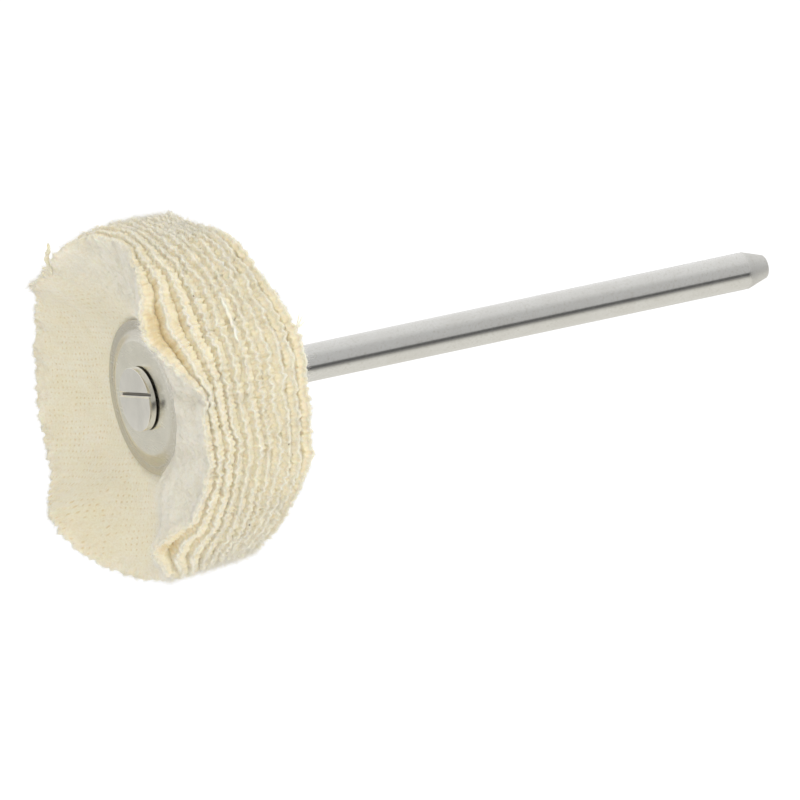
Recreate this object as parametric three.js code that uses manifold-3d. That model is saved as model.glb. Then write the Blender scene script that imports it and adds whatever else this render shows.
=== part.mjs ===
// A small cloth polishing wheel mounted on a rotary-handpiece shank.
// Millimetres. The spin axis is Y: the free end of the shank is at the origin,
// and the wheel with its clamping screw lies at the far end, toward -Y. +Z is up.
import * as THREE from 'three';
import { mergeVertices } from 'three/addons/utils/BufferGeometryUtils.js';
import Module from 'manifold-3d';

// ---- driving dimensions -------------------------------------------------------

// overall
const overallLength = 45.0;      // face of the screw head to the free end of the shank
const plyRadius = 11.35;         // cloth disc, cut edge, lying flat

// shank
const shankDiameter = 2.35;
const shankTipDiameter = 1.45;   // the flat left at the free end
const shankTipLength = 1.5;      // the cone that leads the shank into a collet
const noseDiameter = 1.9;        // turned-down front end that carries the cloth
const noseChamfer = 0.12;
const noseSetback = 0.08;        // the nose stops this far short of the screw head's seat

// clamping screw
const headDiameter = 4.07;
const headThickness = 0.55;
const headEdgeBreak = 0.08;
const slotWidth = 0.24;
const slotDepth = 0.22;
const slotOffset = 0.33;         // the slot runs a little to one side of the centre
const slotTilt = 19;             // degrees, around the spin axis, from +X toward +Z
const screwDiameter = 1.2;
const screwLength = 3.2;         // under the head
const screwTipChamfer = 0.15;

// dished washers, one in front of the cloth and one behind
const washerDiameter = 9.86;
const washerCrownDiameter = 7.0; // the raised flat in the middle
const washerRise = 0.24;         // the flat stands this far proud of the rim
const washerSheet = 0.2;
const washerLip = 0.55;          // width of the flat rim that presses on the cloth

// collar that backs the stack
const collarDiameter = 4.2;
const collarLength = 1.3;
const collarChamfer = 0.2;

// cloth
const plyCount = 11;
const plyThickness = 0.34;
const plyGap = 0.08;             // air between discs where the washers clamp them
const plyDrop = 0.32;            // the cut edges sit this far below the spin axis
const frontLean = 18;            // degrees the first disc leans toward the head
const rearLean = -3;             // and the last one, away from it
const curl = 1.6;                // above 1, a disc bends more the nearer it is to its edge

// clearances between touching pieces
const seatGap = 0.03;            // faces that press together
const boreGap = 0.1;             // round the nose in its holes
const threadGap = 0.05;          // the plain cylinders that stand for the screw thread
const tapRunOut = 0.4;           // the tapped hole goes this much deeper than the screw

// Folds in the cloth, each a wave across the edge: where it is (degrees around the spin
// axis, from +X toward +Z), how wide it is, how many more degrees it leans the first disc
// toward the head, and the share of it that each next disc keeps.
const frontFolds = [
  { at: 134, spread: 16, tilt: 29, keep: 0.55 },
  { at: 50, spread: 14.5, tilt: 23, keep: 0.55 },
  { at: -41, spread: 12, tilt: 19, keep: 0.55 },
  { at: -68, spread: 10, tilt: -11, keep: 0.92 },
  { at: -109, spread: 14, tilt: 34, keep: 0.55 },
  { at: -150, spread: 25, tilt: 5, keep: 0.55 },
];
// The same for the last disc, fading toward the first; a negative tilt is away from the head.
const rearFolds = [
  { at: 22, spread: 24, tilt: -13 },
  { at: 100, spread: 28, tilt: 9 },
  { at: -62, spread: 22, tilt: 6 },
  { at: -150, spread: 30, tilt: -6 },
];

// ---- sizes that follow ---------------------------------------------------------

const faceY = -overallLength;
const headBackY = faceY + headThickness;
const crownY = headBackY + seatGap;
const frontRimY = crownY + washerRise;
const stackStartY = frontRimY + washerSheet + seatGap;
const plyPitch = plyThickness + plyGap;
const stackLength = plyCount * plyPitch - plyGap;
const stackEndY = stackStartY + stackLength;
const rearRimY = stackEndY + seatGap;
const rearCrownY = rearRimY + washerSheet + washerRise;
const collarY = rearCrownY + seatGap;
const shoulderY = collarY;
const noseStartY = crownY + noseSetback;
const washerRadius = washerDiameter / 2;
const boreRadius = noseDiameter / 2 + boreGap;

// ---- materials ------------------------------------------------------------------

const steel = new THREE.MeshStandardMaterial({ color: 0xb9b8b4, roughness: 0.28, metalness: 1 });
const nickel = new THREE.MeshStandardMaterial({ color: 0xd6d3cc, roughness: 0.16, metalness: 1 });
const cotton = new THREE.MeshStandardMaterial({ color: 0xeee4c8, roughness: 0.95, metalness: 0 });

// ---- helpers ----------------------------------------------------------------------

const segments = 48;
const radians = THREE.MathUtils.degToRad;

// A turned piece: [radius, y] pairs along its section, spun round the Y axis. A section
// that doesn't start and end on the axis is closed on itself.
function turned(section, closed) {
  const points = section.map(([r, y]) => new THREE.Vector2(r, y));
  if (closed) points.push(points[0].clone());
  return new THREE.LatheGeometry(points, segments);
}

function mesh(name, geometry, material) {
  const piece = new THREE.Mesh(geometry, material);
  piece.name = name;
  return piece;
}

// ---- solids for boolean cuts ----------------------------------------------------------

const wasm = await Module();
wasm.setup();

function toSolid(geometry) {
  const bare = geometry.clone();
  bare.deleteAttribute('normal');
  bare.deleteAttribute('uv');
  const merged = mergeVertices(bare, 1e-4);
  return new wasm.Manifold(new wasm.Mesh({
    numProp: 3,
    vertProperties: Float32Array.from(merged.attributes.position.array),
    triVerts: Uint32Array.from(merged.index.array),
  }));
}

function fromSolid(solid) {
  const data = solid.getMesh();
  const geometry = new THREE.BufferGeometry();
  geometry.setAttribute('position', new THREE.BufferAttribute(data.vertProperties, 3));
  geometry.setIndex(new THREE.BufferAttribute(data.triVerts, 1));
  geometry.computeVertexNormals();
  return geometry;
}

// ---- mandrel: the shank with its turned-down, tapped nose -------------------------------

function mandrel() {
  const shank = shankDiameter / 2;
  const nose = noseDiameter / 2;
  const tap = screwDiameter / 2 + threadGap;
  const tapEndY = headBackY + screwLength + tapRunOut;
  return turned([
    [0, tapEndY],
    [tap, tapEndY],
    [tap, noseStartY],
    [nose - noseChamfer, noseStartY],
    [nose, noseStartY + noseChamfer],
    [nose, shoulderY],
    [shank, shoulderY],
    [shank, -shankTipLength],
    [shankTipDiameter / 2, 0],
    [0, 0],
  ]);
}

// ---- clamping screw with a plain straight slot ---------------------------------------------

function clampScrew() {
  const head = headDiameter / 2;
  const pin = screwDiameter / 2;
  const tipY = headBackY + screwLength;
  const body = toSolid(turned([
    [0, faceY],
    [head - headEdgeBreak, faceY],
    [head, faceY + headEdgeBreak],
    [head, headBackY],
    [pin, headBackY],
    [pin, tipY - screwTipChamfer],
    [pin - screwTipChamfer, tipY],
    [0, tipY],
  ]));
  const overrun = 1;
  const cutter = new THREE.BoxGeometry(headDiameter + overrun, slotDepth + overrun, slotWidth);
  cutter.translate(0, faceY + slotDepth - (slotDepth + overrun) / 2, slotOffset);
  cutter.rotateY(-radians(slotTilt));
  return fromSolid(body.subtract(toSolid(cutter)));
}

// ---- dished washer ---------------------------------------------------------------------------

// The crown side faces away from the cloth: sign -1 puts it toward -Y, +1 toward +Y.
function washer(rimY, sign) {
  const crown = washerCrownDiameter / 2;
  const rim = washerRadius;
  const knee = rim - washerLip;
  const section = [
    [boreRadius, washerRise + washerSheet],
    [crown, washerRise + washerSheet],
    [knee, washerSheet],
    [rim, washerSheet],
    [rim, 0],
    [knee, 0],
    [crown, washerRise],
    [boreRadius, washerRise],
  ].map(([r, t]) => [r, rimY + sign * t]);
  return turned(sign > 0 ? section.reverse() : section, true);
}

// ---- collar ------------------------------------------------------------------------------------

function collar() {
  const outer = collarDiameter / 2;
  const bore = shankDiameter / 2 + seatGap;
  const endY = collarY + collarLength;
  return turned([
    [bore, collarY],
    [outer - collarChamfer, collarY],
    [outer, collarY + collarChamfer],
    [outer, endY - collarChamfer],
    [outer - collarChamfer, endY],
    [bore, endY],
  ], true);
}

// ---- cloth discs ----------------------------------------------------------------------------------

// One fold's tilt at an angle: a smooth bump that repeats once per turn.
function bump({ at, spread, tilt }, angle) {
  const sharpness = 1 / radians(spread) ** 2;
  return tilt * Math.exp(sharpness * (Math.cos(angle - radians(at)) - 1));
}

// How steeply disc number k (0 is the first) leans toward the head, in radians.
function lean(k, angle) {
  const back = k / (plyCount - 1);
  let degrees = frontLean * (1 - back) + rearLean * back;
  for (const fold of frontFolds) degrees += bump(fold, angle) * fold.keep ** k;
  for (const fold of rearFolds) degrees += bump(fold, angle) * back ** 2;
  return radians(degrees);
}

// A point of disc k: u runs 0 to 1 over the free cloth, from the washer to the cut edge.
function clothPoint(k, angle, u, side) {
  const free = plyRadius - washerRadius - plyDrop * Math.sin(angle);
  const slope = lean(k, angle);
  const r = washerRadius + free * Math.cos(slope) * u;
  const rise = free * Math.sin(slope) * u ** curl;
  const y = stackStartY + k * plyPitch - rise + side * plyThickness;
  return [r * Math.cos(angle), y, r * Math.sin(angle)];
}

function hubPoint(k, angle, r, side) {
  const y = stackStartY + k * plyPitch + side * plyThickness;
  return [r * Math.cos(angle), y, r * Math.sin(angle)];
}

function clothPly(k) {
  const around = 56;
  const bands = [0.2, 0.4, 0.6, 0.8, 1];
  const positions = [];
  const rings = [];
  const addRing = (pointAt) => {
    rings.push(positions.length / 3);
    for (let i = 0; i < around; i += 1) positions.push(...pointAt((2 * Math.PI * i) / around));
  };
  addRing((a) => hubPoint(k, a, boreRadius, 0));
  addRing((a) => hubPoint(k, a, washerRadius, 0));
  for (const u of bands) addRing((a) => clothPoint(k, a, u, 0));
  for (const u of bands.toReversed()) addRing((a) => clothPoint(k, a, u, 1));
  addRing((a) => hubPoint(k, a, washerRadius, 1));
  addRing((a) => hubPoint(k, a, boreRadius, 1));

  const faces = [];
  rings.forEach((start, n) => {
    const next = rings[(n + 1) % rings.length];
    for (let i = 0; i < around; i += 1) {
      const j = (i + 1) % around;
      faces.push(start + i, next + i, next + j, start + i, next + j, start + j);
    }
  });
  const geometry = new THREE.BufferGeometry();
  geometry.setAttribute('position', new THREE.Float32BufferAttribute(positions, 3));
  geometry.setIndex(faces);
  geometry.computeVertexNormals();
  return geometry;
}

// ---- assembly -------------------------------------------------------------------------------------------

const group = new THREE.Group();
group.add(mesh('mandrel', mandrel(), steel));
group.add(mesh('rear_collar', collar(), steel));
group.add(mesh('rear_washer', washer(rearRimY, 1), nickel));
for (let k = plyCount - 1; k >= 0; k -= 1) {
  const number = String(k + 1).padStart(2, '0');
  group.add(mesh(`cloth_ply_${number}`, clothPly(k), cotton));
}
group.add(mesh('front_washer', washer(frontRimY + washerSheet, -1), nickel));
group.add(mesh('clamp_screw', clampScrew(), nickel));

export default group;
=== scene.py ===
"""A small mounted cloth polishing wheel, dressed around its CAD frame.

Metres throughout, in the frame of the CAD model: the spin axis is Y, the shank's free end is at
the origin, and the wheel with its clamping screw lies toward -Y. Z is up.
"""
import math

import bpy
import numpy as np
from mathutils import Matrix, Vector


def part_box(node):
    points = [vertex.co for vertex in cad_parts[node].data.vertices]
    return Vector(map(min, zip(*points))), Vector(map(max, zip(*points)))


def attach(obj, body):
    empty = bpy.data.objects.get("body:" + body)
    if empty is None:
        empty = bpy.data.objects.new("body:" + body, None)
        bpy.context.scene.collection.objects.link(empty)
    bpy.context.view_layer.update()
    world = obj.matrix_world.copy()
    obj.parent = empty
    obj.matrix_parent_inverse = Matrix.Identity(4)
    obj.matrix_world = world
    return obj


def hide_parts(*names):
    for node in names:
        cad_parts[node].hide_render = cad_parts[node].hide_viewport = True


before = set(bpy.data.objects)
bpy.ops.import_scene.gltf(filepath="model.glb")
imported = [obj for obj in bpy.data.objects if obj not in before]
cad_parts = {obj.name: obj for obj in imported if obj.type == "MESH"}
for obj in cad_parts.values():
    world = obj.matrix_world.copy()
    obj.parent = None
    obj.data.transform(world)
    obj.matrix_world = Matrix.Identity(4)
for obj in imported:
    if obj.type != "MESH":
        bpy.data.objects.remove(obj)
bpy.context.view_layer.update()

MM = 0.001
TAU = 2 * math.pi
QUARTER = math.pi / 2
SEED = 4127

# ---- places taken from the frame -------------------------------------------------------------

screw_low, screw_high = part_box("clamp_screw")
mandrel_low, mandrel_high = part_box("mandrel")
_, front_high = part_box("front_washer")
rear_low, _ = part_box("rear_washer")
collar_low, collar_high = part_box("rear_collar")

HEAD_FACE = screw_low[1]
HEAD_RADIUS = screw_high[0]
SHANK_RADIUS = mandrel_high[0]
WASHER_RADIUS = front_high[0]
COLLAR_RADIUS = collar_high[0]

# ---- sizes -----------------------------------------------------------------------------------

SEAT_GAP = 0.03 * MM             # between faces that press together
PLY_COUNT = 11
PLY_GAP = 0.08 * MM              # air between discs at the clamp
PLY_RADIUS = 11.35 * MM          # cut edge, lying flat
PLY_DROP = 0.32 * MM             # the cut edges sit this far below the axis
BORE_RADIUS = 1.05 * MM
FRONT_LEAN, REAR_LEAN = 18, -3   # degrees that the first and last discs lean toward the head
CURL = 1.6                       # above 1, a disc bends more the nearer it is to its edge

STACK_START = front_high[1] + SEAT_GAP
STACK_END = rear_low[1] - SEAT_GAP
PLY_PITCH = (STACK_END - STACK_START + PLY_GAP) / PLY_COUNT
PLY_THICKNESS = PLY_PITCH - PLY_GAP
EDGE_HALF = 0.11 * MM            # half the thickness at the cut edge
FREE_CLOTH = PLY_RADIUS - WASHER_RADIUS

# Folds in the cloth: (place, width, extra lean of the first disc, share each next disc keeps).
# Places are degrees around the axis from +X toward +Z; widths and leans are degrees too.
FRONT_FOLDS = (
    (134, 16, 29, 0.55),
    (50, 14.5, 23, 0.55),
    (22, 5, -7, 0.45),
    (-41, 12, 19, 0.55),
    (-68, 10, -11, 0.92),
    (-109, 14, 34, 0.55),
    (-150, 25, 5, 0.55),
)
# The same for the last disc, fading toward the first.
REAR_FOLDS = ((22, 24, -13), (100, 28, 9), (-62, 22, 6), (-150, 30, -6))
# Where the cloth is cut a little long or short: (place, width, millimetres at the first disc,
# millimetres at the last).
TRIMS = (
    (180, 40, 0.08, 0.0), (114, 8, 0.32, 0.06), (98, 13, -0.04, -0.48), (76, 8, 0.0, 0.80),
    (60, 9, 0.0, -0.20), (8, 13, -0.15, -0.58), (-10, 6, 0.0, 0.35), (-34, 18, -0.05, -0.60),
    (-62, 14, -0.10, -0.60), (-100, 9, 0.12, 0.0), (-136, 12, -0.22, 0.0),
)


# ---- shader maths ----------------------------------------------------------------------------

class Wire:
    """A socket that can be used in sums: each sum adds its Math node."""

    def __init__(self, tree, socket):
        self.tree, self.socket = tree, socket

    def _math(self, operation, *values):
        return self.tree.node("ShaderNodeMath", {"operation": operation}, *values).out()

    def __add__(self, other):
        return self._math("ADD", self, other)

    def __sub__(self, other):
        return self._math("SUBTRACT", self, other)

    def __rsub__(self, other):
        return self._math("SUBTRACT", other, self)

    def __mul__(self, other):
        return self._math("MULTIPLY", self, other)

    def __truediv__(self, other):
        return self._math("DIVIDE", self, other)

    def __pow__(self, other):
        return self._math("POWER", self, other)

    __radd__, __rmul__ = __add__, __mul__

    def cos(self):
        return self._math("COSINE", self)

    def atan2(self, other):
        return self._math("ARCTAN2", self, other)

    def ramp(self, low, high, start=0.0, end=1.0):
        """Runs smoothly from start to end as the value goes from low to high."""
        settings = {"interpolation_type": "SMOOTHSTEP"}
        made = self.tree.node("ShaderNodeMapRange", settings, self, low, high, start, end)
        return made.out()


class Placed:
    """A node in a tree, and its outputs as wires."""

    def __init__(self, tree, made):
        self.tree, self.made = tree, made

    def out(self, name=0):
        return Wire(self.tree, self.made.outputs[name])


class Tree:
    """A node tree that is written as expressions."""

    def __init__(self, owner):
        owner.use_nodes = True
        self.nodes, self.links = owner.node_tree.nodes, owner.node_tree.links
        self.nodes.clear()

    def node(self, kind, settings=None, *values, **named):
        """Adds a node: its settings first, then its sockets, by place or by name."""
        made = self.nodes.new(kind)
        for key, value in (settings or {}).items():
            if key == "stops":
                self._stops(made.color_ramp, value)
            else:
                setattr(made, key, value)
        pairs = list(zip(made.inputs, values))
        pairs += [(made.inputs[name.replace("_", " ")], value) for name, value in named.items()]
        for socket, value in pairs:
            if isinstance(value, Wire):
                self.links.new(value.socket, socket)
            elif value is not None:
                socket.default_value = value
        return Placed(self, made)

    @staticmethod
    def _stops(ramp, stops):
        while len(ramp.elements) < len(stops):
            ramp.elements.new(1.0)
        for element, (place, colour) in zip(ramp.elements, stops):
            element.position, element.color = place, (*colour, 1)

    def object_place(self):
        return self.node("ShaderNodeTexCoord").out("Object")

    def axes(self, vector):
        split = self.node("ShaderNodeSeparateXYZ", None, vector)
        return split.out("X"), split.out("Y"), split.out("Z")

    def noise(self, vector, size, detail=2.0, rough=0.5):
        """Soft random value about half, with features about size metres across."""
        made = self.node("ShaderNodeTexNoise", None, Vector=vector, Scale=1 / size,
                         Detail=detail, Roughness=rough)
        return made.out("Fac")

    def stretched(self, vector, scale):
        return self.node("ShaderNodeMapping", None, Vector=vector, Scale=scale).out()

    def mix(self, amount, first, second):
        made = self.nodes.new("ShaderNodeMix")
        made.data_type = "RGBA"
        for socket, value in zip((made.inputs[0], made.inputs[6], made.inputs[7]),
                                 (amount, first, second)):
            if isinstance(value, Wire):
                self.links.new(value.socket, socket)
            else:
                socket.default_value = value if isinstance(value, float) else (*value, 1)
        return Wire(self, made.outputs[2])

    def bump(self, height, depth, strength=1.0):
        made = self.node("ShaderNodeBump", None, Strength=strength, Distance=depth, Height=height)
        return made.out()


def material(name):
    made = bpy.data.materials.new(name)
    return made, Tree(made)


def finish_with(tree, **sockets):
    """A Principled shader with these sockets, as the material's surface."""
    shader = tree.node("ShaderNodeBsdfPrincipled", None, **sockets)
    tree.node("ShaderNodeOutputMaterial", None, Surface=shader.out())


# ---- materials -------------------------------------------------------------------------------

CREAM = (0.83, 0.775, 0.60)
PALE = (0.885, 0.855, 0.745)
STRAW = (0.70, 0.57, 0.33)
# The next two colours are painted light and shade between discs: a brighter honey glow for the
# shallow beds, standing in for light through the cloth, and a darker amber painted shade for wide,
# deep pockets.
HONEY_BED_GLOW = (0.905, 0.82, 0.60)
AMBER_POCKET_SHADE = (0.77, 0.635, 0.38)
ROW_PITCH, DOT_PITCH = 0.36 * MM, 0.30 * MM
ROW_TURN = math.radians(16)


def cotton():
    """Woven cotton, brushed until its weave shows only in places.

    The mesh says how brushed the cloth is at each point ("nap") and how deep it is between two
    discs ("depth"). Depth paints light and shade into the colour: a brighter honey glow in the
    shallow beds between discs stands in for light passing through the cloth, and a darker amber
    in wide, deep pockets is painted shade."""
    made, tree = material("woven cotton")
    place = tree.object_place()
    nap = tree.node("ShaderNodeAttribute", {"attribute_name": "nap"}).out("Fac")
    depth = tree.node("ShaderNodeAttribute", {"attribute_name": "depth"}).out("Fac")
    x, _, z = tree.axes(place)
    drift = (tree.noise(place, 2.2 * MM, 2) - 0.5) * (1.6 * ROW_PITCH)
    row = (z * math.cos(ROW_TURN) - x * math.sin(ROW_TURN) + drift) * (TAU / ROW_PITCH)
    dot = (x * math.cos(ROW_TURN) + z * math.sin(ROW_TURN) + drift) * (TAU / DOT_PITCH)
    hole = (0.5 - row.cos() * 0.5) * (0.5 - dot.cos() * 0.5)
    patchy = tree.noise(place, 0.9 * MM, 3).ramp(0.35, 0.65)
    bare = (1 - nap) * (0.35 + patchy * 0.65)
    fluff = tree.noise(place, 0.13 * MM, 4, 0.62)
    clouds = tree.noise(place, 1.3 * MM, 3)
    pale = (clouds.ramp(0.3, 0.7) * 0.35 + nap * 0.75).ramp(0.0, 1.1)
    colour = tree.mix(pale, CREAM, PALE)
    # Painted light and shade by depth between discs: a honey glow in shallow beds, standing in for
    # light through the cloth, then darker amber painted shade in deep pockets.
    colour = tree.mix(depth.ramp(0.0, 0.4), colour, HONEY_BED_GLOW)
    colour = tree.mix(depth.ramp(0.4, 1.0), colour, AMBER_POCKET_SHADE)
    colour = tree.mix(fluff.ramp(0.60, 0.38) * 0.24, colour, STRAW)
    colour = tree.mix((hole ** 2.5 * bare).ramp(0.06, 0.8) * 0.8, colour, STRAW)
    height = fluff * 0.8 - hole * bare * 0.6
    finish_with(tree, Base_Color=colour, Roughness=0.95, Sheen_Weight=0.25, Sheen_Roughness=0.5,
                Specular_IOR_Level=0.1, Subsurface_Weight=0.5,
                Subsurface_Radius=(1.0, 0.80, 0.52), Subsurface_Scale=0.4 * MM,
                Normal=tree.bump(height, 0.06 * MM, 0.55))
    return made


def fibre():
    made, tree = material("loose cotton fibre")
    tone = tree.noise(tree.object_place(), 0.9 * MM, 2)
    colour = tree.mix(tone.ramp(0.3, 0.7), (0.93, 0.87, 0.71), (0.96, 0.93, 0.83))
    finish_with(tree, Base_Color=colour, Roughness=0.9, Sheen_Weight=0.3,
                Specular_IOR_Level=0.15, Subsurface_Weight=0.6,
                Subsurface_Radius=(1.0, 0.85, 0.65), Subsurface_Scale=0.05 * MM)
    return made


def husk():
    made, tree = material("seed husk")
    tone = tree.noise(tree.object_place(), 0.05 * MM, 2)
    colour = tree.mix(tone.ramp(0.3, 0.7), (0.20, 0.13, 0.07), (0.36, 0.27, 0.17))
    finish_with(tree, Base_Color=colour, Roughness=0.8)
    return made


def ground_steel():
    """Centreless-ground bar, duller on the cone at its free end."""
    made, tree = material("ground steel")
    place = tree.object_place()
    _, y, _ = tree.axes(place)
    lines = tree.noise(tree.stretched(place, (0.3, 6.0, 0.3)), 0.7 * MM, 4, 0.65)
    grain = tree.noise(place, 0.16 * MM, 3, 0.6)
    mottle = tree.noise(place, 1.6 * MM, 4, 0.6)
    cone = y.ramp(-1.75 * MM, -1.35 * MM)
    colour = tree.mix(mottle.ramp(0.3, 0.7), (0.735, 0.725, 0.695), (0.765, 0.76, 0.735))
    colour = tree.mix(grain.ramp(0.50, 0.70) * 0.4, colour, (0.62, 0.60, 0.54))
    colour = tree.mix(cone * 0.35, colour, (0.66, 0.65, 0.62))
    rough = 0.12 + lines * 0.08 + grain.ramp(0.5, 0.7) * 0.06 + cone * 0.40
    finish_with(tree, Base_Color=colour, Metallic=1.0, Roughness=rough,
                Normal=tree.bump(lines * 0.6 + grain, 0.003 * MM, 0.6))
    return made


def nickel(name, base, polish, shade_recesses=False):
    """Bright nickel plate. The screw's is painted black in its slot and under its head, as painted
    shade; the washers' skirts are painted a darker brown, a painted reflection of the cloth.
    """
    made, tree = material(name)
    place = tree.object_place()
    x, y, z = tree.axes(place)
    smears = tree.noise(place, 1.4 * MM, 3)
    scratches = tree.noise(tree.stretched(place, (0.25, 1, 2.2)), 0.25 * MM, 3)
    colour = tree.mix(smears.ramp(0.3, 0.7), base, tuple(c * 0.92 for c in base))
    rough = polish + (smears - 0.5) * 0.10 + scratches.ramp(0.60, 0.75) * 0.10
    out = (x * x + z * z) ** 0.5
    # Painted shade: the deeper part of the slot and the groove under the head are painted
    # near-black and made rougher.
    if shade_recesses:
        under = y.ramp(HEAD_FACE + 0.46 * MM, HEAD_FACE + 0.485 * MM)
        inside = out.ramp(HEAD_RADIUS - 0.01 * MM, HEAD_RADIUS - 0.05 * MM)
        slot = y.ramp(HEAD_FACE + 0.11 * MM, HEAD_FACE + 0.16 * MM) * inside
        recess_shade = (under + slot).ramp(0.0, 1.0)
        colour = tree.mix(recess_shade * 0.9, colour, (0.17, 0.155, 0.13))
        rough = rough + recess_shade * 0.4
    else:
        # Painted reflection: from the edge of the raised flat outward, the washer is painted a
        # darker brown, standing in for the cloth that it reflects.
        colour = tree.mix(out.ramp(3.45 * MM, 3.9 * MM) * 0.7, colour, (0.53, 0.50, 0.43))
    finish_with(tree, Base_Color=colour, Metallic=1.0, Roughness=rough,
                Normal=tree.bump(scratches + smears * 2.0, 0.006 * MM, 0.5))
    return made


COTTON = cotton()
FIBRE = fibre()
HUSK = husk()
STEEL = ground_steel()
NICKEL = nickel("nickel plate", (0.84, 0.82, 0.73), 0.24)
# The screw gets painted shade in its slot and under its head.
SCREW_NICKEL = nickel("screw nickel", (0.86, 0.845, 0.80), 0.13, shade_recesses=True)


# ---- turned metal ----------------------------------------------------------------------------

WELD = 0.004 * MM                # points closer than this are one point
ON_AXIS = 0.0005 * MM            # the radius that stands for none while a piece is drawn out
LATHE_SIDES = 128
SHARP = math.radians(28)         # an edge sharper than this is rounded
SMOOTH_BELOW = math.radians(35)  # an edge flatter than this is shaded smooth


def turned(name, section):
    """Lathe work: a ring at the section's first step, drawn out along the axis step by step."""
    bpy.ops.object.select_all(action="DESELECT")
    radius, y = max(section[0][0], ON_AXIS), section[0][1]
    bpy.ops.mesh.primitive_circle_add(vertices=LATHE_SIDES, radius=radius,
                                      location=(0, y, 0), rotation=(QUARTER, 0, 0))
    piece = bpy.context.object
    piece.name = name
    bpy.ops.object.transform_apply(location=True, rotation=True, scale=True)
    bpy.ops.object.mode_set(mode="EDIT")
    bpy.ops.mesh.select_all(action="SELECT")
    for step_radius, step_y in section[1:]:
        step_radius = max(step_radius, ON_AXIS)
        bpy.ops.mesh.extrude_region_move(TRANSFORM_OT_translate={"value": (0, step_y - y, 0)})
        ratio = step_radius / radius
        bpy.ops.transform.resize(value=(ratio, 1, ratio), center_override=(0, step_y, 0))
        radius, y = step_radius, step_y
    bpy.ops.mesh.select_all(action="SELECT")
    bpy.ops.mesh.remove_doubles(threshold=WELD)
    bpy.ops.mesh.normals_make_consistent(inside=False)
    bpy.ops.object.mode_set(mode="OBJECT")
    return piece


def ease_edges(piece, width, segments=3):
    """Rounds the sharp edges and shades the rest smooth."""
    edge = piece.modifiers.new("eased edges", "BEVEL")
    edge.width, edge.segments = width, segments
    edge.limit_method, edge.angle_limit = "ANGLE", SHARP
    bpy.ops.object.modifier_apply(modifier=edge.name)
    bpy.ops.object.shade_smooth_by_angle(angle=SMOOTH_BELOW)


def hand_over(piece, finish, slot, *nodes):
    """Gives a piece its material and its body, and hides the CAD nodes that it stands for. slot is
    not used.
    """
    piece.data.materials.clear()
    piece.data.materials.append(finish)
    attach(piece, "root")
    if nodes:
        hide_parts(*nodes)
    return piece


TIP_RADIUS, TIP_LENGTH = 0.725 * MM, 1.42 * MM
NOSE_RADIUS = 0.95 * MM
TAP_RADIUS, TAP_END = 0.65 * MM, HEAD_FACE + 4.15 * MM
HEAD_BACK = HEAD_FACE + 0.55 * MM
SCREW_RADIUS, SCREW_CHAMFER = 0.6 * MM, 0.15 * MM
HEAD_SIDE = HEAD_FACE + 0.48 * MM          # where the head's side ends and its groove starts
GROOVE_TOP, GROOVE_DEPTH = HEAD_FACE + 0.485 * MM, 0.42 * MM
SLOT_TURN, SLOT_SIDE = math.radians(-19), 0.33 * MM
SLOT_CUTTERS = ((0, 0.44, 0.17), (QUARTER / 2, 0.27, 0.27))    # tilt, then depth and width in mm
COLLAR_GROOVE = (0.5, 0.62, 0.78, 0.9)     # its four corners along the collar, in mm
COLLAR_GROOVE_DEPTH = 0.12 * MM


def make_mandrel():
    piece = turned("mandrel_shank", [
        (0, mandrel_high[1]),
        (TIP_RADIUS, mandrel_high[1]),
        (SHANK_RADIUS, -TIP_LENGTH),
        (SHANK_RADIUS, collar_low[1]),
        (NOSE_RADIUS, collar_low[1]),
        (NOSE_RADIUS, mandrel_low[1]),
        (TAP_RADIUS, mandrel_low[1]),
        (TAP_RADIUS, TAP_END),
        (0, TAP_END),
    ])
    ease_edges(piece, 0.12 * MM, 4)
    hand_over(piece, STEEL, "shank_steel", "mandrel")


def make_collar():
    start, floor, end_of_floor, end = (collar_low[1] + at * MM for at in COLLAR_GROOVE)
    piece = turned("crimped_collar", [
        (SHANK_RADIUS + SEAT_GAP, collar_low[1]),
        (COLLAR_RADIUS, collar_low[1]),
        (COLLAR_RADIUS, start),
        (COLLAR_RADIUS - COLLAR_GROOVE_DEPTH, floor),
        (COLLAR_RADIUS - COLLAR_GROOVE_DEPTH, end_of_floor),
        (COLLAR_RADIUS, end),
        (COLLAR_RADIUS, collar_high[1]),
        (SHANK_RADIUS + SEAT_GAP, collar_high[1]),
        (SHANK_RADIUS + SEAT_GAP, collar_low[1]),
    ])
    ease_edges(piece, 0.1 * MM)
    hand_over(piece, STEEL, "shank_steel", "rear_collar")


CROWN_RADIUS = 3.5 * MM          # a washer's raised flat
LIP = 0.5 * MM                   # width of the flat lip on the cloth
SHEET = 0.2 * MM                 # thickness of the pressed sheet
RISE = 0.24 * MM                 # how far the flat stands above the lip
SKIRT_STEPS = 10


def dished(name, rim, toward, node):
    """A pressed washer: a raised flat, an S-shaped skirt and a flat lip on the cloth."""
    skirt = []
    for i in range(SKIRT_STEPS + 1):
        share = i / SKIRT_STEPS
        radius = CROWN_RADIUS + (WASHER_RADIUS - LIP - CROWN_RADIUS) * share
        skirt.append((radius, RISE * (0.5 + 0.5 * math.cos(math.pi * share))))
    lip = [(WASHER_RADIUS, 0.0)]
    under = [(BORE_RADIUS, RISE)] + skirt + lip
    over = [(r, t + SHEET) for r, t in reversed(under)]
    loop = under + over + under[:1]
    piece = turned(name, [(r, rim + toward * t) for r, t in loop])
    ease_edges(piece, 0.05 * MM)
    hand_over(piece, NICKEL, "nickel", node)


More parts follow.
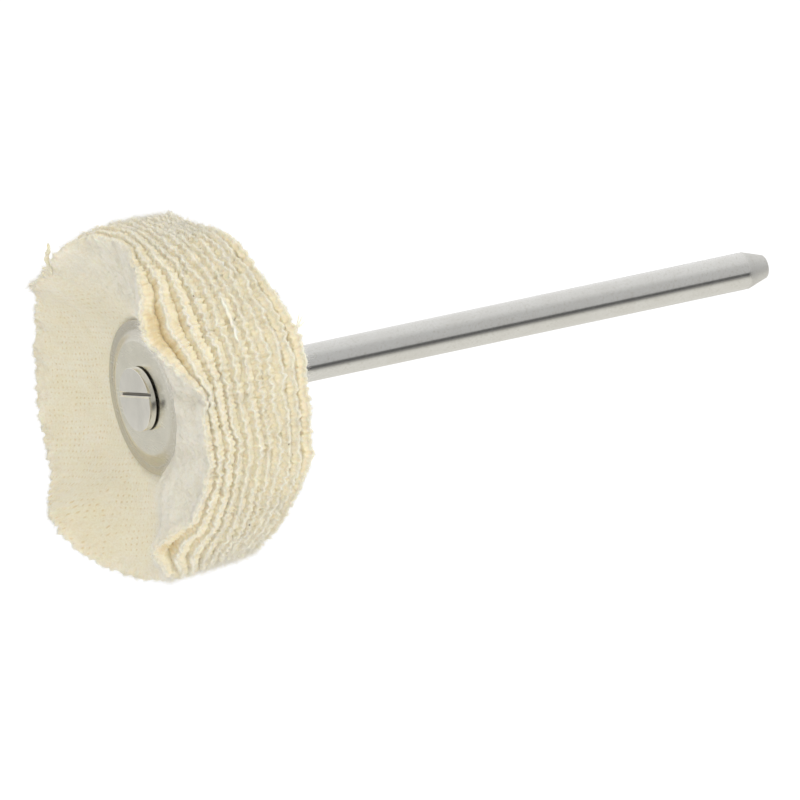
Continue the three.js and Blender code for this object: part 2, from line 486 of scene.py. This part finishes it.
def make_screw():
    """The clamping screw, with a plain straight slot, its lips eased, a little off centre."""
    tip = screw_high[1]
    piece = turned("slotted_screw", [
        (0, HEAD_FACE),
        (HEAD_RADIUS * 0.5, HEAD_FACE),
        (HEAD_RADIUS, HEAD_FACE),
        (HEAD_RADIUS, HEAD_SIDE),
        (HEAD_RADIUS - GROOVE_DEPTH, GROOVE_TOP),
        (HEAD_RADIUS - GROOVE_DEPTH, HEAD_BACK),
        (SCREW_RADIUS, HEAD_BACK),
        (SCREW_RADIUS, tip - SCREW_CHAMFER),
        (SCREW_RADIUS - SCREW_CHAMFER, tip),
        (0, tip),
    ])
    ease_edges(piece, 0.07 * MM)
    at = (SLOT_SIDE * math.sin(SLOT_TURN), HEAD_FACE, SLOT_SIDE * math.cos(SLOT_TURN))
    for tilt, deep, wide in SLOT_CUTTERS:
        bpy.ops.object.select_all(action="DESELECT")
        bpy.ops.mesh.primitive_cube_add(size=1, location=at, rotation=(tilt, SLOT_TURN, 0),
                                        scale=(3 * HEAD_RADIUS, deep * MM, wide * MM))
        cutter = bpy.context.object
        bpy.ops.object.select_all(action="DESELECT")
        bpy.context.view_layer.objects.active = piece
        cut = piece.modifiers.new("slot", "BOOLEAN")
        cut.object, cut.operation, cut.solver = cutter, "DIFFERENCE", "EXACT"
        bpy.ops.object.modifier_apply(modifier=cut.name)
        bpy.data.objects.remove(cutter)
    piece.select_set(True)
    bpy.ops.object.shade_smooth_by_angle(angle=SMOOTH_BELOW)
    hand_over(piece, SCREW_NICKEL, "nickel", "clamp_screw")


# ---- cloth -----------------------------------------------------------------------------------

def ripple(angle, low, high, rng):
    """Random waves round a turn, low to high of them, of unit strength."""
    waves = np.arange(low, high + 1)[:, None]
    size = rng.normal(size=waves.shape)
    phase = rng.uniform(0, TAU, waves.shape)
    return (size * np.cos(waves * angle + phase)).sum(0) / math.sqrt((size ** 2).sum() / 2)


def hills(x, z, size, rng, count=36):
    """Random hills over a surface, about size across, of unit strength."""
    total = np.zeros_like(x)
    for _ in range(count):
        turn, phase = rng.uniform(0, TAU, 2)
        pace = TAU / (size * rng.uniform(0.7, 1.5))
        total += np.cos(pace * (x * math.cos(turn) + z * math.sin(turn)) + phase)
    return total / math.sqrt(count / 2)


def fold(angle, at, width, lean):
    sharpness = 1 / math.radians(width) ** 2
    return lean * np.exp(sharpness * (np.cos(angle - math.radians(at)) - 1))


def lean(k, angle):
    """How steeply disc k leans toward the head, in radians."""
    back = k / (PLY_COUNT - 1)
    degrees = np.full_like(angle, FRONT_LEAN * (1 - back) + REAR_LEAN * back)
    for at, width, extra, keep in FRONT_FOLDS:
        degrees += fold(angle, at, width, extra) * keep ** k
    for at, width, extra in REAR_FOLDS:
        degrees += fold(angle, at, width, extra) * back ** 2
    return np.radians(degrees)


def smooth(value):
    value = np.clip(value, 0, 1)
    return value * value * (3 - 2 * value)


def unit(vectors):
    return vectors / np.linalg.norm(vectors, axis=-1, keepdims=True)


AROUND = 1200                    # steps round each disc
EDGE_WAVE_REACH = 0.42 * MM      # how far in from the cut edge its small waves die out
LUMP_REACH = 0.45 * MM           # the same for the lumps in its thickness
FLUFF_OVERFILL = 1.15            # fluff is this much thicker than half the space to the next disc
BRIM_TURNS = np.radians([66, 33, 0, -33, -66])     # directions round the cut edge's thickness


class Disc:
    """The shape of one cloth disc. u is 0 at the washer's edge, 1 at the cut edge, and below 0
    under the washer. All arrays are (steps of u, steps round)."""

    def __init__(self, k):
        self.k = k
        self.neighbours = {}
        self.rng = np.random.default_rng(SEED + 17 * k)
        a = self.angle = np.arange(AROUND) * TAU / AROUND
        together = np.random.default_rng(SEED)
        back = k / (PLY_COUNT - 1)
        sway = ripple(a, 4, 13, together) * 0.8 + ripple(a, 9, 34, self.rng) * 0.5
        self.slope = lean(k, a) + np.radians(sway)
        ragged = ripple(a, 18, 60, self.rng) * 0.045 + ripple(a, 70, 200, self.rng) * 0.03
        for at, width, first, last in TRIMS:
            ragged = ragged + fold(a, at, width, first + (last - first) * back)
        self.free = (FREE_CLOTH - PLY_DROP * np.sin(a) - EDGE_HALF
                     + self.rng.uniform(-0.06, 0.06) * MM + ragged * MM)
        restless = 0.85 + 0.25 * np.clip(ripple(a, 3, 16, self.rng), -1.2, 1.2)
        self.squiggle = np.tanh(ripple(a, 74, 124, self.rng) * restless) * 0.072 * MM
        self.lumps = [ripple(a, 90, 260, self.rng) * 0.13 for _ in range(2)]

    def middle(self, u, wavy=1.0):
        u = np.asarray(u, dtype=float)[:, None]
        out = np.clip(u, 0, None)
        radius = WASHER_RADIUS + self.free * np.cos(self.slope) * out
        radius = radius + (WASHER_RADIUS - BORE_RADIUS) * np.minimum(u, 0)
        rise = self.free * np.sin(self.slope) * out ** CURL
        y = STACK_START + self.k * PLY_PITCH + PLY_THICKNESS / 2 - rise
        from_edge = (1 - u) * FREE_CLOTH
        y = y + wavy * self.squiggle * np.exp(-((from_edge / EDGE_WAVE_REACH) ** 2))
        return np.stack([radius * np.cos(self.angle), y, radius * np.sin(self.angle)], -1)

    def frames(self, u):
        """Points on the middle of the cloth, with outward and headward directions."""
        u = np.asarray(u, dtype=float)
        step = 0.004
        points = self.middle(u)
        outward = unit(self.middle(u + step, 0.0) - self.middle(u - step, 0.0))
        calm = self.middle(u, 0.0)
        sideways = np.roll(calm, -3, 1) - np.roll(calm, 3, 1)
        headward = unit(np.cross(sideways, outward))
        headward *= np.sign(-headward[..., 1:2] + 1e-9)
        return points, outward, headward

    def pocket(self, u, side):
        """Half the space to the next disc, and how far in each point is: 0 at the cut edge and
        1 where fluff has filled that space."""
        points, _, headward = self.frames(u)
        apart = self.neighbours[side].middle(u) - points
        room = np.abs((apart * headward).sum(-1)) / 2
        from_edge = (1 - np.asarray(u, dtype=float)[:, None]) * FREE_CLOTH
        return room, from_edge / np.clip(room * 0.7, 0.12 * MM, 0.6 * MM)

    def half(self, u, side):
        """Half the cloth's thickness. side 0 is the head side and 1 the shank side."""
        u = np.asarray(u, dtype=float)
        from_edge = (1 - u[:, None]) * FREE_CLOTH
        near = np.exp(-((from_edge / LUMP_REACH) ** 2))
        if side in self.neighbours:
            room, inward = self.pocket(u, side)
            filled = smooth((inward - 0.24) / 0.75)
            thick = EDGE_HALF + (room * FLUFF_OVERFILL - EDGE_HALF) * filled
        else:
            filled = 1 - np.clip(1 - from_edge / (0.35 * MM), 0, 1) ** 2
            thick = EDGE_HALF + (PLY_THICKNESS / 2 - EDGE_HALF) * filled
            thick = np.broadcast_to(thick, (len(u), AROUND))
        if self.k == 0 and side == 0:
            near_side = smooth(0.5 + 0.9 * np.cos(self.angle - math.radians(12)))
            puff = smooth(u[:, None] / 0.10) * smooth((1 - u[:, None]) / 0.75)
            thick = thick + puff * (0.08 + 0.85 * near_side) * MM
        lumpy = 1.0 if side in self.neighbours else 0.25
        return thick * (1 + self.lumps[side] * near * lumpy)

    def nap(self, points, side):
        """How brushed the cloth is, from 0 to 1: most on the first disc's +X side, at its top
        and along its edge. Other faces are half brushed."""
        if self.k or side:
            return np.full(points.shape[:2], 0.5)
        x, z = points[..., 0] / MM, points[..., 2] / MM
        out = np.hypot(x, z) / (PLY_RADIUS / MM)
        right = smooth((x - 1.5) / 4)
        top = smooth((z - 4.5) / 4)
        rim = smooth((out - 0.86) / 0.12)
        return np.clip(0.12 + 0.88 * np.maximum(right, top) + 0.5 * rim, 0, 1)


def face_steps(fine):
    """Steps of u from the bore to just inside the edge, closest together near the edge."""
    inner = np.linspace(0.0, 0.90, 32) if fine else np.array([0.0, 0.45, 0.74, 0.87])
    edge = 1 - np.array([0.50, 0.37, 0.28, 0.23, 0.18, 0.135, 0.09, 0.045]) * MM / FREE_CLOTH
    return np.concatenate([[-1.0, -0.02], inner, edge])


def attribute(mesh, name, values):
    made = mesh.attributes.new(name, "FLOAT", "POINT")
    made.data.foreach_set("value", np.ascontiguousarray(values.ravel(), dtype=np.float32))


def make_disc(disc, fine_sides):
    """A disc's cloth, as a closed sheet."""
    layers, naps, depths = [], [], []
    for side in (0, 1):
        steps = face_steps(side in fine_sides)
        points, _, headward = disc.frames(steps)
        x, z = points[..., 0], points[..., 2]
        rough = hills(x, z, 0.9 * MM, disc.rng) * 0.010
        rough = rough + hills(x, z, 0.35 * MM, disc.rng) * 0.007
        if side in fine_sides:
            rough = rough + hills(x, z, 2.6 * MM, disc.rng) * 0.035
        calm = smooth((steps[:, None] + 0.02) / 0.15)
        offset = disc.half(steps, side) + rough * MM * calm
        surface = points + headward * offset[..., None] * (1 if side == 0 else -1)
        # How deep a point lies between two discs; the cloth's material turns this into a painted
        # honey glow and painted amber shade.
        deep = np.zeros_like(offset)
        if side in disc.neighbours:
            room, inward = disc.pocket(steps, side)
            wide = smooth((room / MM - 0.42) / 0.3)
            deep = smooth((inward - 0.2) / 0.5) * (0.4 + 0.6 * wide)
        flip = slice(None) if side == 0 else slice(None, None, -1)
        layers.append(surface[flip])
        brushed = disc.nap(points, side)
        # Away from the brushed front face, the cloth is painted less pale the deeper it lies:
        # painted shade.
        naps.append((brushed if disc.k == 0 and side == 0 else 0.6 - 0.3 * deep)[flip])
        depths.append(deep[flip])
    points, outward, headward = disc.frames([1.0])
    brim = []
    for turn in BRIM_TURNS:
        thick = disc.half([1.0], 0 if turn > 0 else 1)[..., None]
        thick = thick * (1 + 0.07 * ripple(disc.angle, 150, 300, disc.rng)[:, None])
        brim.append(points + thick * (outward * math.cos(turn) + headward * math.sin(turn)))
    grid = np.concatenate([layers[0], *brim, layers[1]])
    flat = np.full((len(BRIM_TURNS), AROUND), 0.6)
    count = len(grid)
    first = np.arange(count)[:, None] * AROUND + np.arange(AROUND)
    right = np.roll(first, -1, 1)
    quads = np.stack([first, right, np.roll(right, -1, 0), np.roll(first, -1, 0)], -1)
    mesh = bpy.data.meshes.new(f"cloth_disc_{disc.k + 1:02d}")
    mesh.from_pydata(grid.reshape(-1, 3).tolist(), [], quads.reshape(-1, 4).tolist())
    attribute(mesh, "nap", np.concatenate([naps[0], flat, naps[1]]))
    attribute(mesh, "depth", np.concatenate([depths[0], flat * 0, depths[1]]))
    piece = bpy.data.objects.new(mesh.name, mesh)
    bpy.context.collection.objects.link(piece)
    mesh.shade_smooth()
    return piece


# ---- fibres ----------------------------------------------------------------------------------

FIBRE_KNOTS = np.array([0.0, 0.5, 1.0])     # where along a fibre it can bend
FIBRE_TAPER = 0.55                          # share of its thickness that a fibre loses by its tip


def fibre_piece(name, roots, ways, lengths, thick, rng, wave):
    """Many loose fibres: three-sided, tapering, each bent its own way."""
    count = len(roots)
    ways = unit(ways)
    bend = unit(rng.normal(size=(count, 3))) * lengths[:, None] * wave
    twist = unit(rng.normal(size=(count, 3))) * lengths[:, None] * wave * 0.4
    spine = [roots + ways * (lengths * t)[:, None] + bend * t * t + twist * math.sin(4.2 * t)
             for t in FIBRE_KNOTS]
    across = unit(np.cross(ways, rng.normal(size=(count, 3))))
    over = np.cross(ways, across)
    corners = []
    for t, centre in zip(FIBRE_KNOTS[:-1], spine):
        size = thick * (1 - FIBRE_TAPER * t)
        for turn in (0, TAU / 3, 2 * TAU / 3):
            side = across * math.cos(turn) + over * math.sin(turn)
            corners.append(centre + side * size[:, None])
    corners.append(spine[-1])
    points = np.stack(corners, 1)
    faces = [(0, 2, 1)]
    for ring in range(len(FIBRE_KNOTS) - 2):
        base = 3 * ring
        for i in range(3):
            j = (i + 1) % 3
            faces.append((base + i, base + j, base + j + 3, base + i + 3))
    tip = len(corners) - 1
    base = tip - 3
    faces += [(base + i, base + (i + 1) % 3, tip) for i in range(3)]
    every = []
    for start in range(0, count * len(corners), len(corners)):
        every += [tuple(start + v for v in face) for face in faces]
    mesh = bpy.data.meshes.new(name)
    mesh.from_pydata(points.reshape(-1, 3).tolist(), [], every)
    piece = bpy.data.objects.new(name, mesh)
    bpy.context.collection.objects.link(piece)
    mesh.shade_smooth()
    return hand_over(piece, FIBRE, "cotton_cloth")


LONG_SHARE = 0.28                # share of a fringe's fibres that are long and fine
BRIM_FAN, FACE_FAN = 1.4, 1.3    # radians that fibres lean from the plane of the cloth


def make_fringe(disc, count):
    """Frayed fibres that stand from the cut edge, and from the cloth just inside it."""
    rng = np.random.default_rng(SEED + 500 + disc.k)
    brim = 6 if disc.k == 0 else 5
    depths = [0.0] * brim + [0.06, 0.11, 0.16] + [0.32, 0.48, 0.70] * (disc.k < 3)
    steps = 1 - np.array(depths) * MM / FREE_CLOTH
    points, outward, headward = disc.frames(steps)
    halves = [disc.half(steps, side) for side in (0, 1)]
    row, pick = rng.integers(0, len(steps), count), rng.integers(0, AROUND, count)
    turn = np.where(row < brim, rng.uniform(-BRIM_FAN, BRIM_FAN, count),
                    rng.choice([-FACE_FAN, FACE_FAN], count))
    lift = (outward[row, pick] * np.cos(turn)[:, None]
            + headward[row, pick] * np.sin(turn)[:, None])
    thick = np.where(turn > 0, halves[0][row, pick], halves[1][row, pick])
    roots = points[row, pick] + lift * (thick * 0.9)[:, None]
    around = np.stack([-np.sin(disc.angle), np.zeros(AROUND), np.cos(disc.angle)], -1)
    level = np.where(row < brim, 0.9, 0.3)[:, None]
    ways = lift * level + outward[row, pick] * (1.2 - level)
    ways = ways + around[pick] * rng.normal(0, 0.7, (count, 1))
    ways = ways + rng.normal(0, 0.3, (count, 3))
    low = 1 + 0.3 * np.clip(-np.sin(disc.angle[pick]), 0, 1)
    lengths = np.clip(rng.lognormal(-1.65, 0.45, count) * low, 0.08, 0.55) * MM
    lengths = np.where(rng.random(count) < LONG_SHARE, rng.uniform(0.3, 0.7, count) * MM,
                       lengths)
    sizes = np.where(lengths > 0.3 * MM, 0.005, rng.uniform(0.006, 0.011, count)) * MM
    return fibre_piece(f"fringe_{disc.k + 1:02d}", roots, ways, lengths, sizes, rng, 0.55)


def make_nap(name, disc, side, count):
    """Brushed fibres that lie over the face of a disc."""
    rng = np.random.default_rng(SEED + 900 + disc.k)
    steps = np.linspace(0.02, 0.99, 60)
    points, _, headward = disc.frames(steps)
    sign = 1 if side == 0 else -1
    surface = points + headward * disc.half(steps, side)[..., None] * sign
    chance = disc.nap(surface, side) * np.linalg.norm(surface[..., (0, 2)], axis=-1)
    pick = rng.choice(chance.size, count, p=chance.ravel() / chance.sum())
    row, column = np.unravel_index(pick, chance.shape)
    normal = headward[row, column] * sign
    ways = np.cross(normal, rng.normal(size=(count, 3)))
    ways = unit(ways) + normal * rng.uniform(0.05, 0.8, (count, 1))
    lengths = np.clip(rng.lognormal(-1.1, 0.4, count), 0.12, 0.9) * MM
    sizes = rng.uniform(0.004, 0.006, count) * MM
    return fibre_piece(name, surface[row, column], ways, lengths, sizes, rng, 0.6)


def yarn_piece(name, path, thick, rng, finish=FIBRE):
    """A short loose yarn of two twisted strands, thinning at both ends."""
    path = np.array(path)
    count, sides = 40, 10
    knots = np.linspace(0, 1, len(path))
    along = np.linspace(0, 1, count)
    spine = np.stack([np.interp(along, knots, path[:, i]) for i in range(3)], -1)
    for _ in range(3):
        spine[1:-1] = (spine[:-2] + spine[1:-1] * 2 + spine[2:]) / 4
    forward = unit(np.gradient(spine, axis=0))
    across = unit(np.cross(forward, rng.normal(size=3)))
    over = np.cross(forward, across)
    size = thick * np.clip(np.sin(np.pi * along), 0.02, 1) ** 0.4
    turn = np.arange(sides) * TAU / sides
    strand = 1 + 0.28 * np.cos(2 * turn - along[:, None] * 26)
    strand = strand * rng.normal(1, 0.06, (count, sides))
    reach = (size[:, None] * strand)[..., None]
    grid = spine[:, None] + reach * (across[:, None] * np.cos(turn)[:, None]
                                     + over[:, None] * np.sin(turn)[:, None])
    first = np.arange(count - 1)[:, None] * sides + np.arange(sides)
    right = np.roll(first, -1, 1)
    quads = np.stack([first, right, right + sides, first + sides], -1).reshape(-1, 4).tolist()
    caps = [list(range(sides))[::-1], list(range((count - 1) * sides, count * sides))]
    mesh = bpy.data.meshes.new(name)
    mesh.from_pydata(grid.reshape(-1, 3).tolist(), [], quads + caps)
    piece = bpy.data.objects.new(name, mesh)
    bpy.context.collection.objects.link(piece)
    mesh.shade_smooth()
    return hand_over(piece, finish, "cotton_cloth")


def rim_place(disc, degrees, out=0.0, ahead=0.0):
    """A point at the cut edge of a disc, out from it and toward the head, in millimetres."""
    points, outward, headward = (v[0] for v in disc.frames([1.0]))
    at = round(degrees / 360 * AROUND) % AROUND
    return points[at] + outward[at] * out * MM + headward[at] * ahead * MM


def make_strays(discs):
    """Yarn ends that have worked loose, by the disc that they hang from."""
    rng = np.random.default_rng(SEED + 77)
    tip = rim_place(discs[0], 127.5)
    lift = np.array([[0.3, 0.2, -0.4], [0.15, 0.1, 0], [-0.1, 0, 0.5], [0.0, 0, 1.0],
                     [0.25, 0, 1.3], [0.1, 0, 1.75]]) * MM
    laid = [rim_place(discs[5], step, 0.10 + 0.06 * math.sin(step), 0.05)   # any uneven wobble
            for step in range(53, 36, -2)]
    strays = {0: [yarn_piece("stray_thread", tip + lift, 0.14 * MM, rng, COTTON)],
              5: [yarn_piece("stray_yarn", laid, 0.11 * MM, rng)]}
    tuft = rim_place(discs[10], 38)
    strays[10] = []
    for i, (reach, rise) in enumerate(((0.7, 0.9), (1.0, 0.4), (0.4, 1.2))):
        ways = np.array([[0, 0, 0], [0.2, reach * 0.5, rise * 0.4], [0.1, reach, rise]]) * MM
        path = tuft - ways[1] * 0.5 + ways
        strays[10].append(yarn_piece(f"tuft_{i + 1}", path, 0.05 * MM, rng))
    return strays


# Specks of seed: (disc, degrees round it, millimetres out from its edge).
FLECKS = ((3, 57, 0.08), (1, -1, 0.02), (8, 0, 0.08), (6, -30, 0.06), (0, 100, 0.05))
FLECK_RADIUS = 0.09 * MM


def make_flecks(discs):
    """Specks of cotton seed caught in the cloth."""
    for i, (k, degrees, out) in enumerate(FLECKS):
        bpy.ops.object.select_all(action="DESELECT")
        bpy.ops.mesh.primitive_ico_sphere_add(subdivisions=2, radius=FLECK_RADIUS,
                                              scale=(1, 0.6, 0.8),
                                              location=rim_place(discs[k], degrees, out))
        speck = bpy.context.object
        speck.name = f"seed_fleck_{i + 1}"
        bpy.ops.object.transform_apply(location=True, rotation=True, scale=True)
        bpy.ops.object.shade_smooth()
        hand_over(speck, HUSK, "cotton_cloth")


FRINGE_FRONT, FRINGE_OTHERS = 9000, 5400    # fibres on a disc's cut edge
NAP_FRONT, NAP_REAR = 13000, 6000           # fibres on the two outer faces


def make_cloth():
    last = PLY_COUNT - 1
    discs = [Disc(k) for k in range(PLY_COUNT)]
    for ahead, behind in zip(discs, discs[1:]):
        ahead.neighbours[1], behind.neighbours[0] = behind, ahead
    strays = make_strays(discs)
    make_flecks(discs)
    for k, disc in enumerate(discs):
        piece = make_disc(disc, (0,) if k == 0 else (1,) if k == last else ())
        hand_over(piece, COTTON, "cotton_cloth", f"cloth_ply_{k + 1:02d}")
        extras = [make_fringe(disc, FRINGE_FRONT if k == 0 else FRINGE_OTHERS)]
        extras += strays.get(k, [])
        if k == 0:
            extras.append(make_nap("front_nap", disc, 0, NAP_FRONT))
        if k == last:
            extras.append(make_nap("rear_nap", disc, 1, NAP_REAR))
        ahead = "front_washer" if k == 0 else f"cloth_ply_{k:02d}"
        behind = "rear_washer" if k == last else f"cloth_ply_{k + 2:02d}"


# ---- camera, floor and light -----------------------------------------------------------------

AZIMUTH, ELEVATION = math.radians(61.4), math.radians(23.0)
LENS, SENSOR = 1600.0, 36.0      # millimetres: so long a lens sees almost without perspective
VIEW_WIDTH = 49.95 * MM          # what the picture spans at the object
VIEW_SHIFT = 16.58 * MM          # how far its middle is to the right of the screw's head


def make_camera():
    right = np.array([math.cos(AZIMUTH), math.sin(AZIMUTH), 0])
    forward = np.array([-math.sin(AZIMUTH) * math.cos(ELEVATION),
                        math.cos(AZIMUTH) * math.cos(ELEVATION), -math.sin(ELEVATION)])
    aim = np.array([0, HEAD_FACE, 0]) + right * VIEW_SHIFT
    camera = bpy.data.cameras.new("camera")
    camera.lens, camera.sensor_width = LENS, SENSOR
    camera.clip_start, camera.clip_end = 0.01, 10
    holder = bpy.data.objects.new("camera", camera)
    bpy.context.collection.objects.link(holder)
    holder.location = aim - forward * VIEW_WIDTH * LENS / SENSOR
    holder.rotation_euler = (QUARTER - ELEVATION, 0, AZIMUTH)
    bpy.context.scene.camera = holder


FLOOR_DROP = 60 * MM             # below the spin axis
FLOOR_REACH = 220 * MM           # from the floor's middle to its sides
PLAIN_WHITE = 1.1                # bright enough to be seen as white with nothing in it


def make_floor():
    """A white table: plain white to the camera, graded along X in light and in reflections."""
    bpy.ops.object.select_all(action="DESELECT")
    bpy.ops.mesh.primitive_plane_add(size=2 * FLOOR_REACH,
                                     location=(0, HEAD_FACE / 2, -FLOOR_DROP))
    floor = bpy.context.object
    floor.name = "floor"
    made, tree = material("white table")
    x, _, _ = tree.axes(tree.object_place())
    ray = tree.node("ShaderNodeLightPath")
    glow = x.ramp(0.05, 0.20, 0.83, 0.22) * x.ramp(-0.13, -0.03, 0.78, 1.0)
    near = 0.85 + x.ramp(-0.04, 0.10) * 0.26
    white = ray.out("Is Camera Ray")
    mirrored = ray.out("Is Glossy Ray")
    level = near * (1 - white) * (1 - mirrored) + white * PLAIN_WHITE + mirrored * glow
    tint = tree.mix(mirrored, (1, 1, 1), (1, 0.985, 0.93))
    seen = tree.node("ShaderNodeEmission", None, tint, level)
    tree.node("ShaderNodeOutputMaterial", None, Surface=seen.out())
    floor.data.materials.append(made)


def make_world():
    """A light tent, which reflections see as grey bands round the spin axis, one of them dark.

    Everything else is lit by an even white that is brighter from +X, +Y and above."""
    world = bpy.data.worlds.new("light tent")
    bpy.context.scene.world = world
    tree = Tree(world)
    x, y, z = tree.axes(tree.node("ShaderNodeTexCoord").out("Generated"))
    around = z.atan2(x) / TAU + 0.5

    def grey(value):
        return (value, value, value)

    tent = tree.node("ShaderNodeValToRGB", {"stops": [
        (0.00, grey(0.95)), (0.45, grey(0.60)), (0.465, grey(0.10)), (0.502, grey(0.10)),
        (0.52, grey(0.55)), (0.65, grey(0.59)), (0.74, grey(0.80)), (1.00, grey(0.98)),
    ]}, around).out("Color")
    reflected = tree.node("ShaderNodeBackground", None, tent, 1.0)
    level = (x * 0.6 + y * 0.5 + z * 0.5).ramp(-1.1, 1.0, 0.71, 1.2)
    even = tree.node("ShaderNodeBackground", None, (1, 1, 1, 1), level)
    white = tree.node("ShaderNodeBackground", None, (1, 1, 1, 1), PLAIN_WHITE)
    ray = tree.node("ShaderNodeLightPath")
    lit = tree.node("ShaderNodeMixShader", None, ray.out("Is Glossy Ray"), even.out(),
                    reflected.out())
    both = tree.node("ShaderNodeMixShader", None, ray.out("Is Camera Ray"), lit.out(),
                     white.out())
    tree.node("ShaderNodeOutputWorld", None, Surface=both.out())
    bpy.context.scene.view_settings.view_transform = "Standard"


make_camera()
make_floor()
make_world()
make_mandrel()
make_collar()
dished("rear_dished_washer", rear_low[1], 1, "rear_washer")
dished("front_dished_washer", front_high[1], -1, "front_washer")
make_screw()
make_cloth()
